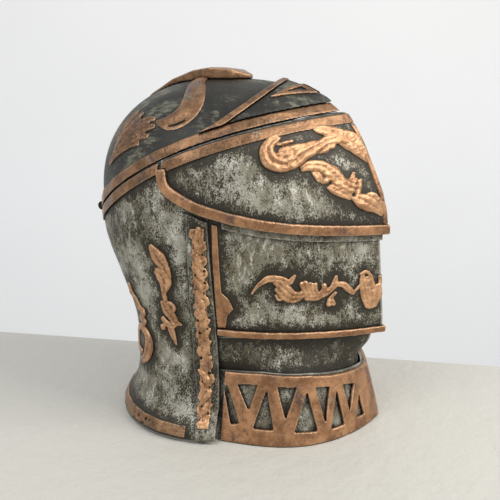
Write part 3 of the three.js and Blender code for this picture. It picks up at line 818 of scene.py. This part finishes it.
def window_cutter(outline, side):
    """A block that goes through the sheet square to its surface."""
    bpy.ops.object.select_all(action="DESELECT")
    bpy.ops.mesh.primitive_circle_add(vertices=len(outline), fill_type="NGON")
    cutter = bpy.context.object
    for vertex, (forward, z) in zip(cutter.data.vertices, outline):
        vertex.co = collar_point(forward, z, WINDOW_INNER, side)
    bpy.ops.object.mode_set(mode="EDIT")
    bpy.ops.mesh.select_all(action="SELECT")
    bpy.ops.mesh.extrude_region_move()
    bpy.ops.object.mode_set(mode="OBJECT")
    for vertex, (forward, z) in zip(list(cutter.data.vertices)[len(outline):], outline):
        vertex.co = collar_point(forward, z, WINDOW_OUTER, side)
    bpy.ops.object.mode_set(mode="EDIT")
    bpy.ops.mesh.select_all(action="SELECT")
    bpy.ops.mesh.normals_make_consistent(inside=False)
    bpy.ops.object.mode_set(mode="OBJECT")
    return cutter


lattice = raise_plate("lattice", "collar", 0, 60, 0, -2.9, 1.0, 220, 50)
lattice = trim(lattice, side_block(COLLAR_KEPT), keep_inside=True)
for outline in WINDOWS:
    for side in (-1, 1):
        trim(lattice, window_cutter(outline, side))
fuse(lattice, 0.7, 4, 0.15)
settle(lattice, "collar_lattice_cast", "helmet", "copper_trim", DULL, "collar_lattice")

# %% [markdown]
# ## Trim that keeps the CAD's outline
# Bands, beads and strips are already right in outline. Each is copied, fused into an even skin and
# softened, so that its edges are round and its run slightly uneven. The broad beads are softened most.

# %% Softening a copy


def recast(node, name, body, slot, material, grain_mm, rounds, unevenness=0.12):
    """A softened copy of a CAD node."""
    source = frame["nodes"][node]
    only(source)
    bpy.ops.object.duplicate()
    piece = bpy.context.object
    piece.parent = None
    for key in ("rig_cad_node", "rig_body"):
        if key in piece:
            del piece[key]
    only(piece)
    bpy.ops.object.mode_set(mode="EDIT")
    bpy.ops.mesh.select_all(action="SELECT")
    bpy.ops.mesh.remove_doubles(threshold=0.00001)
    bpy.ops.mesh.normals_make_consistent(inside=False)
    bpy.ops.object.mode_set(mode="OBJECT")
    fuse(piece, grain_mm, rounds, unevenness)
    return settle(piece, name, body, slot, material, node)


print("CAD nodes", len(frame["nodes"]))

# %% The trim and the soft strips
for node, body, material, grain, rounds in (
        ("neck_seam_band_left", "helmet", BAND, 0.6, 6), ("neck_seam_band_right", "helmet", BAND, 0.6, 6),
        ("base_rim_band", "helmet", PITTED, 0.6, 6), ("ledge_bead", "helmet", DULL, 0.8, 12),
        ("face_border_left", "helmet", DULL, 0.5, 6), ("face_border_right", "helmet", DULL, 0.5, 6),
        ("visor_edge_bead", "visor", DULL, 0.8, 12),
        ("visor_top_band", "visor", BAND, 0.6, 6), ("visor_ridge_strip", "visor", DULL, 0.5, 5),
        ("cap_rim_band", "cap", BAND, 0.6, 6), ("brow_chevron", "cap", BAND, 0.6, 8),
        ("brow_triangle_left", "cap", BAND, 0.5, 6), ("brow_triangle_right", "cap", BAND, 0.5, 6),
        ("crest_spine", "cap", BAND, 0.8, 12)):
    recast(node, "cast_" + node, body, "copper_trim", material, grain, rounds)
for node, body, material, slot in (
        ("cheek_strip_left", "helmet", PEWTER_DIRTY, "pewter_plate"),
        ("cheek_strip_right", "helmet", PEWTER_DIRTY, "pewter_plate"),
        ("visor_lip", "visor", PEWTER, "pewter_plate"),
        ("brow_plate", "cap", BLACK, "charcoal_plate")):
    recast(node, "soft_" + node, body, slot, material, 0.9, 10)

# %% [markdown]
# ## The cast scrollwork
# Each ornament is modelled as rolls of clay are laid on a flat board: every roll runs along a line and
# swells and thins on its way. The rolls are pressed flatter, fused and smoothed like a cast, and then
# the ornament is bent over the form it sits on. A roll's places are written as (along Y, up Z, radius)
# in mm; on the dome the second number is the angle above the shoulder, in degrees.

# %% A place on the dome
DOME_STEP = 1.6  # mm over the dome for each degree above the shoulder


def dome_point(y, climb, lift):
    """A point on the left of the dome, from its place along Y and its angle above the shoulder."""
    low, high = SHOULDER, CROWN + lift
    slope = math.tan(math.radians(min(max(climb, 1), 89.5)))
    for _ in range(26):
        z = (low + high) / 2
        if z - SHOULDER < slope * half_width("skull", y, z, lift):
            low = z
        else:
            high = z
    return Vector((-half_width("skull", y, z, lift), y + SLIDE, z)) * MM


print("the dome's crown, in metres:", [round(v, 3) for v in dome_point(CENTRE, 89, 0)])

# %% [markdown]
# A thick roll is laid as two thinner ones side by side. The line between them is the groove that a tool
# leaves along a leaf or a stem.

# %% Rolls of clay
THINNEST = 0.25  # mm
GROOVED_FROM = 1.7  # mm: thinner rolls are left whole
SPLIT_SHIFT, SPLIT_SWELL = 0.5, 0.66  # how far a half moves, and how thick it is


def roll_of_clay(curve, points, swell):
    """One roll with round ends, laid on the board."""
    line = smooth_line([Vector(p) for p in points], 6)
    for end in (0, -1):
        tip, inner = line[end], line[1 if end == 0 else -2]
        away = Vector((tip.x - inner.x, tip.y - inner.y, 0)).normalized()
        for k in (0.35, 0.7, 0.95):
            point = Vector((tip.x, tip.y, 0)) + away * tip.z * k
            point.z = tip.z * math.sqrt(1 - k * k)
            line.insert(0, point) if end == 0 else line.append(point)
    spline = curve.splines.new("POLY")
    spline.points.add(len(line) - 1)
    for place, point in zip(spline.points, line):
        place.co = (0, point.x * MM, point.y * MM, 1)
        place.radius = max(point.z * swell, THINNEST) * MM


def beside(points, share):
    """The same roll moved sideways by a share of its radius, so that two rolls leave a groove."""
    line = offset([(y, z) for y, z, _ in points], 1)
    return [(y + (to_y - y) * radius * share, z + (to_z - z) * radius * share, radius)
            for (y, z, radius), (to_y, to_z) in zip(points, line)]


print("rolls thicker than", GROOVED_FROM, "mm get a groove")

# %% [markdown]
# ### Casting an ornament
# The rolls lie on the board as one curve object with a round section. It is pressed flatter, fused, and
# pricked with nail pits. Then every point of it goes to its place on the form, as far out as it rose from
# the board. Low spots are chiselled a little by noise, and the highest are held to one height.

# %% Laying the clay, pricking and bending
PIT_FLOOR = 0.5  # mm above the board
NAIL_LENGTH = 20  # mm: longer than any ornament is high


def lay_clay(rolls, stretch, swell, grooved):
    """The rolls as one mesh, lying on the board."""
    bpy.ops.object.select_all(action="DESELECT")
    bpy.ops.curve.primitive_bezier_curve_add()
    clay = bpy.context.object
    clay.data.splines.clear()
    clay.data.dimensions = "3D"
    clay.data.bevel_depth = 1
    clay.data.bevel_resolution = 3
    clay.data.use_fill_caps = True
    for points in rolls:
        flat = [(y, z * stretch, radius) for y, z, radius in points]
        if grooved and len(flat) > 2 and max(radius for _, _, radius in flat) > GROOVED_FROM:
            for side in (-1, 1):
                roll_of_clay(clay.data, beside(flat, side * SPLIT_SHIFT * swell), swell * SPLIT_SWELL)
        else:
            roll_of_clay(clay.data, flat, swell)
    only(clay)
    bpy.ops.object.convert(target="MESH")
    return bpy.context.object


def prick(piece, y, z, radius):
    """A nail pit, straight down towards the board."""
    bpy.ops.object.select_all(action="DESELECT")
    bpy.ops.mesh.primitive_cylinder_add(
        vertices=12, radius=radius * MM, depth=NAIL_LENGTH * MM, rotation=(0, math.pi / 2, 0),
        location=(-(PIT_FLOOR + NAIL_LENGTH / 2) * MM, y * MM, z * MM))
    trim(piece, bpy.context.object)


def bend_over(form, y, z, rise, stretch, lift):
    """The place on the form of a point that lies at (y, z) on the board and rises above it."""
    if form != "dome":
        base = Vector((-half_width(form, y, z, lift), y + SLIDE, z)) * MM
        return base + outward(form, y, z) * rise * MM
    here = dome_point(y, z / stretch, lift)
    ahead, over = dome_point(y + 1, z / stretch, lift), dome_point(y, z / stretch + 1, lift)
    normal = (over - here).cross(ahead - here).normalized()
    if normal.x > 0.2 or normal.z < 0:
        normal = -normal
    return here + normal * rise * MM


print("clay is laid on a board in the side view")

# %% Casting, bending and mirroring
CHISEL_SIZE = 2.6  # mm across one chisel mark


def cast(name, form, rolls, flatness, lift, body, nodes, grain_mm=0.55, rounds=1, swell=1.3, pits=(),
         most=4.6, material=COPPER, chisel=0.4, grooved=True):
    """
    Models an ornament from rolls, casts it, bends it over the left side and mirrors it to the right.
    The rolls are flatness times as high as they are wide, and no point rises more than most mm.
    """
    stretch = DOME_STEP if form == "dome" else 1
    piece = lay_clay(rolls, stretch, swell, grooved)
    for vertex in piece.data.vertices:
        vertex.co.x *= flatness
    fuse(piece, grain_mm, rounds)
    for y, z, radius in pits:
        prick(piece, y, z, radius)
    for vertex in piece.data.vertices:
        y, z, rise = vertex.co.y / MM, vertex.co.z / MM, -vertex.co.x / MM
        groove = noise.noise(Vector((y, z, 3.0)) / CHISEL_SIZE) * chisel if rise > 0.3 else 0
        vertex.co = bend_over(form, y, z, min(max(rise + groove, -0.5), most), stretch, lift)
    only(piece)
    bpy.ops.object.mode_set(mode="EDIT")
    bpy.ops.mesh.select_all(action="SELECT")
    bpy.ops.mesh.normals_make_consistent(inside=False)
    bpy.ops.object.mode_set(mode="OBJECT")
    only(piece)
    bpy.ops.object.duplicate()
    twin = bpy.context.object
    for vertex in twin.data.vertices:
        vertex.co.x = -vertex.co.x
    twin.data.flip_normals()
    for one, side, node in ((piece, "_left", nodes[0]), (twin, "_right", nodes[-1])):
        settle(one, name + side, body, "copper_trim", material, node)


def pair(node):
    """The names of the CAD's left and right copies of one ornament."""
    return node + "_left", node + "_right"


LIFT = 0.3  # mm: ornaments stand off their plate by a hair
print("ornaments stand", LIFT, "mm off their plate")

# %% [markdown]
# ### The ornaments
# On the cheek a long leaf hangs over a knot of curls. At the rear a ring hangs from a few curls.

# %% Cheek and rear ornaments
cast("cheek_spray", "skull", [
    [(45, 161, 1.3), (41, 156, 3.4), (37, 151, 4.3), (33, 146, 3.2)],
    [(41, 140, 2.3), (36, 138, 4.3), (33, 132, 4.1), (35, 124, 2.1)],
    [(30, 144, 2.0), (29, 137, 1.7)],
    [(36, 125, 1.8), (35, 116, 1.8)],
    [(37, 113, 2.3), (34, 107, 3.4), (30, 102, 3), (27, 95, 2.3)],
    [(38, 110, 1.3), (31, 113, 1.5), (27, 109, 1.5), (31, 104, 1.2)],
    [(40, 98, 1.5), (36, 94, 2), (31, 93, 2.3), (26, 96, 1.7), (22, 95, 0.7)],
    [(40, 91, 2.2), (40, 89, 2)],
    [(32, 90, 2.3), (30, 83, 1.7), (28, 76, 0.6)],
], 0.85, LIFT, "helmet", pair("cheek_ornament"), most=5.5)
cast("rear_spray", "skull", [
    [(80, 119, 1.4), (79, 111, 2.1), (73, 106, 1.9), (70, 101, 2.4)],
    [(70, 100, 2.1), (64, 97, 2.4), (68, 90, 1.9)],
    [(71, 88, 1.8), (64, 88, 2.1), (69, 82, 1.8)],
    [(75, 79, 1.8), (65, 79, 2.5), (60, 73, 3.1), (60, 64, 3.5), (65, 54, 2.9), (72, 48, 2.2)],
    [(75, 79, 1.6), (83, 66, 1.5), (82, 57, 1.5), (74, 55, 1.8)],
], 0.95, LIFT, "helmet", pair("rear_ornament"))

# %% [markdown]
# A garland of curled leaves runs forward along the face plate towards the palmette.

# %% Face garland
cast("garland", "face", [
    [(-36, 125, 0.6), (-39, 130, 0.9), (-43, 134, 1.4), (-48, 137, 2.2), (-52, 137, 2.4)],
    [(-52, 137, 2.3), (-58, 135, 2.3), (-62, 133, 2), (-66, 138, 0.9)],
    [(-54, 134, 2.3), (-60, 127, 3), (-65, 122, 2.5), (-71, 122, 2.3), (-75, 126, 1.8), (-77, 130, 1.4)],
    [(-55, 128, 2.3), (-60, 121, 2.8), (-65, 118, 2.2), (-71, 119, 0.9)],
    [(-53, 123, 0.9), (-55, 119, 1.1), (-58, 121, 1.1), (-57, 125, 0.9)],
    [(-72, 131, 2.2), (-73, 127, 2.2), (-75, 121, 2.4)],
    [(-79, 129, 1.9), (-79, 125, 2), (-81, 120, 2)],
    [(-86, 128, 1.5), (-86, 124, 1.7), (-84, 121, 1.6)],
    [(-75, 119, 2.3), (-80, 118, 2.1), (-85, 120, 2.1), (-90, 123, 1.9), (-93, 127, 1.8), (-94, 134, 0.8)],
    [(-94, 127, 1.6), (-99, 126, 1.8), (-103, 121, 1.7), (-106, 117, 1.1)],
    [(-106, 117, 1.1), (-109, 121, 1.1), (-113, 126, 1.2), (-115, 129, 1.4)],
    [(-94, 120, 0.9), (-91, 116, 1.4), (-91, 111, 2.5)],
], 0.95, LIFT, "helmet", pair("face_garland"), grain_mm=0.45, swell=1.2, most=5.5)

# %% [markdown]
# Two scrolls lie on each side of the visor: the upper one curls like a hook and spreads into a leaf at the
# front, and the lower one is a twisted stem. They stand higher than any other ornament.

# %% Visor scrolls
cast("visor_scroll_high", "visor", [
    [(-50, 247, 2.6), (-47, 244, 3.3), (-45, 239, 3.7), (-48, 231, 4.2), (-53, 228, 4.6), (-58, 227, 4.6),
     (-64, 230, 4.8), (-68, 234, 4.6), (-73, 237, 4.2), (-78, 240, 3.4), (-81, 243, 2.9)],
    [(-52, 242, 1.1), (-56, 243, 1.6), (-60, 244, 1.3)],
    [(-56, 236, 3.4), (-62, 237, 3.8), (-68, 238, 3.6), (-74, 240, 3.2)],
    [(-78, 235, 1.4), (-81, 237, 3), (-83, 241, 2.1)],
    [(-73, 253, 1.4), (-76, 252, 2.5), (-80, 251, 3), (-85, 249, 3.2), (-91, 246, 3.5), (-97, 241, 3.5)],
    [(-86, 242, 1.4), (-86, 238, 1.8)],
    [(-91, 246, 4), (-97, 242, 4.3), (-103, 235, 3.8), (-107, 230, 2.7), (-110, 225, 1.2)],
    [(-90, 243, 2.1), (-97, 238, 2.8), (-102, 233, 1.4)],
    [(-80, 242, 3), (-86, 244, 3.2), (-92, 244, 3.4)],
    [(-54, 233, 3), (-60, 232, 3.4), (-66, 235, 3.4)],
], 0.9, LIFT, "visor", pair("visor_scroll_upper"), most=6.6, swell=1.12)
cast("visor_scroll_low", "visor", [
    [(-70, 224, 2.5), (-72, 225, 3.1), (-76, 225, 3.2), (-81, 224, 3.2), (-86, 220, 3.2), (-90, 216, 3.3),
     (-94, 211, 3.3), (-99, 207, 3.2), (-103, 205, 3)],
    [(-86, 224, 1.1), (-90, 221, 1.6), (-93, 215, 1.8), (-97, 211, 1.8), (-101, 212, 1.6), (-102, 217, 0.9)],
    [(-77, 220, 1.4), (-80, 216, 1.8), (-81, 213, 1.1)],
    [(-84, 213, 2.7), (-85, 213, 2.5)],
    [(-88, 208, 1.7), (-92, 205, 2.5), (-97, 202, 2.5), (-102, 198, 1.4)],
    [(-102, 202, 1.4), (-103, 207, 1.5), (-104, 212, 1.2)],
    [(-106, 198, 1.6), (-107, 204, 1.6), (-107, 211, 1.3)],
    [(-106, 198, 2.6), (-111, 194, 4.2), (-116, 190, 4), (-120, 187, 2.9), (-124, 181, 1)],
    [(-111, 197, 1.6), (-115, 198, 2.3), (-120, 193, 2.1), (-123, 188, 1.2)],
], 0.9, LIFT, "visor", pair("visor_scroll_lower"), most=6, swell=1.15)

# %% [markdown]
# On the cap a smooth lobe curls down from the crest on each side, and behind it a broad leaf spreads its
# fingers forward.

# %% Crest lobes and leaves
cast("crest_lobe", "dome", [
    [(30, 84, 5), (29, 74, 6.5), (25, 64, 8), (21, 55, 9), (22, 47, 8.5), (29, 42.5, 6.5), (38, 40.5, 4),
     (45, 41, 2)],
    [(20, 68, 1.8), (13.5, 57, 1.9), (11.5, 50, 1.9), (14, 43, 1.9), (22, 38, 1.8), (33, 36.5, 1.7),
     (44, 40, 1.5)],
], 0.36, LIFT, "cap", pair("crest_scroll"), grain_mm=0.65, rounds=2, chisel=0.2, swell=1.0, grooved=False,
     material=BAND)
cast("crest_acanthus", "dome", [
    [(86, 29, 4.5), (76, 36, 6.5), (67, 42, 6)],
    [(84, 30, 3), (70, 38, 5), (58, 42.5, 4), (50, 43, 2)],
    [(84, 29, 3), (70, 35, 4.6), (58, 38, 4), (48, 38.5, 2)],
    [(84, 28, 3), (70, 32, 4), (60, 34, 3.4), (52, 33.5, 1.8)],
    [(84, 27.5, 3), (74, 30, 3.4), (66, 30.5, 2.6), (60, 30, 1.5)],
    [(86, 30, 3), (79, 40, 5), (71, 47, 4.2), (66, 49, 2.2)],
    [(87, 31, 3), (84, 41, 4.6), (79, 49, 3.8), (74, 53, 2)],
    [(86, 28, 4), (91, 25, 3), (95, 22, 1.5)],
    [(85, 29, 1.6), (72, 36.5, 1.8), (58, 40.5, 1.4)],
], 0.6, LIFT, "cap", pair("crest_leaf"), grain_mm=0.6, rounds=1, swell=1.0, material=BAND)

# %% [markdown]
# The palmette sits on the face's ridge. Half of it is bent over each side, and the halves meet on the
# ridge and take the place of one CAD node.

# %% Palmette
cast("shell", "face", [
    [(-117, 104, 2), (-115, 113, 2.9), (-113, 122, 2.6), (-112, 131, 1.4)],
    [(-119, 103, 2.2), (-119, 112, 3.2), (-118, 121, 2.7), (-117, 130, 1.5)],
    [(-121, 104, 2), (-123, 112, 2.8), (-122, 120, 2.2)],
    [(-111, 133, 1.5), (-114, 134, 1.6), (-117, 131, 1.2)],
    [(-123, 118, 1.6), (-124.5, 123, 1.4), (-124, 128, 1.3)],
], 0.95, LIFT, "helmet", ("face_palmette", "face_palmette"), grain_mm=0.45, swell=1.05)

# %% [markdown]
# The filigree on the cheek strips is too small to draw curl by curl. Bulbs and curls follow each other
# down a thin bed, each turned left or right by chance, with nail pits between them. The seed keeps every
# run the same.

# %% Filigree on the cheek strips
random.seed(7)
STRIP_LIFT = 3.5  # mm: the top of the pewter strip
BED_LINE = [(1, 178, 1.2), (2, 150, 1.3), (2, 124, 1.3), (2, 94, 1.3), (1, 60, 1.3), (0, 30, 1.3),
            (-2, 14, 1.2)]
BED_ROWS = (-3.4, -1.7, 0, 1.7, 3.4)


def about(value, spread):
    """The value, a little more or less by chance."""
    return value + random.uniform(-spread, spread)


bed = [[(row + y, z, radius) for y, z, radius in BED_LINE] for row in BED_ROWS]
curls, nails = [], []
height = 174
while height > 18:
    way = random.choice((-1, 1))
    y = 1.5 if height > 60 else 0
    curls.append([(about(y - 2 * way, 1), height + 5, 2.4), (y, height, about(3.2, 0.5)),
                  (y + 2 * way, height - 5, 1.6)])
    curls.append([(y + 4.5 * way, height + 4, 1.2), (y + 5.4 * way, height, 1.5),
                  (y + 3 * way, height - 3, 1.3)])
    curls.append([(y - 5 * way, about(height - 4, 2), 1.3), (y - 2 * way, height - 8, 1.8),
                  (y + 3 * way, height - 9, 1.3)])
    nails.append((about(y + 3.4 * way, 1), about(height - 6, 1.5), about(1.3, 0.3)))
    if random.random() < 0.5:
        nails.append((about(y - 3.4 * way, 1), about(height - 1, 1.5), about(1.1, 0.2)))
    height -= about(12, 3)
cast("filigree", "skull", bed + curls, 0.8, STRIP_LIFT, "helmet", pair("cheek_filigree"),
     grain_mm=0.45, rounds=1, pits=nails, most=3.6, swell=1.0, grooved=False, chisel=0.5)

# %% [markdown]
# ## Where the dirt gathers
# Black paint was left along the trim. Each plate records how near its surface is to the trim, and the
# finish reads that record. The collar's backing lies wholly under its lattice, so its record is weakened
# to keep the middle of each window light.

# %% Grime record on the plates
GRIME_START, GRIME_REACH, GRIME_FADE = 1, 12, 1.8  # mm, mm, and how fast it thins
COLLAR_GRIME = 0.3
EVERY = 9  # one trim vertex in nine is enough

trims = [o for o in bpy.data.objects if o.type == "MESH" and o.get("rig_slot") == "copper_trim"
         and o.name not in frame["nodes"]]
places = [vertex.co.copy() for piece in trims for vertex in list(piece.data.vertices)[::EVERY]]
near = KDTree(len(places))
for number, place in enumerate(places):
    near.insert(place, number)
near.balance()
for plate in plates:
    record = plate.data.attributes.new("grime", "FLOAT", "POINT")
    for number, vertex in enumerate(plate.data.vertices):
        away = near.find(vertex.co)[2] / MM
        dirty = max(0.0, 1 - max(away - GRIME_START, 0) / GRIME_REACH) ** GRIME_FADE
        record.data[number].value = dirty * (COLLAR_GRIME if plate is collar else 1)
print("grime recorded against", len(places), "trim points")

# %% [markdown]
# ## Iron fittings
# The pins, washers and hinge leaves keep their CAD shape and take the blackened iron finish.

# %% Iron finish on the fittings
for node in ("visor_pivot_pin_left", "visor_pivot_pin_right", "visor_pivot_washer_left",
             "visor_pivot_washer_right", "hinge_leaf_neck", "hinge_leaf_cap", "hinge_pin"):
    fitting = frame["nodes"][node]
    fitting.data.materials.clear()
    fitting.data.materials.append(IRON)
print("iron fittings done")
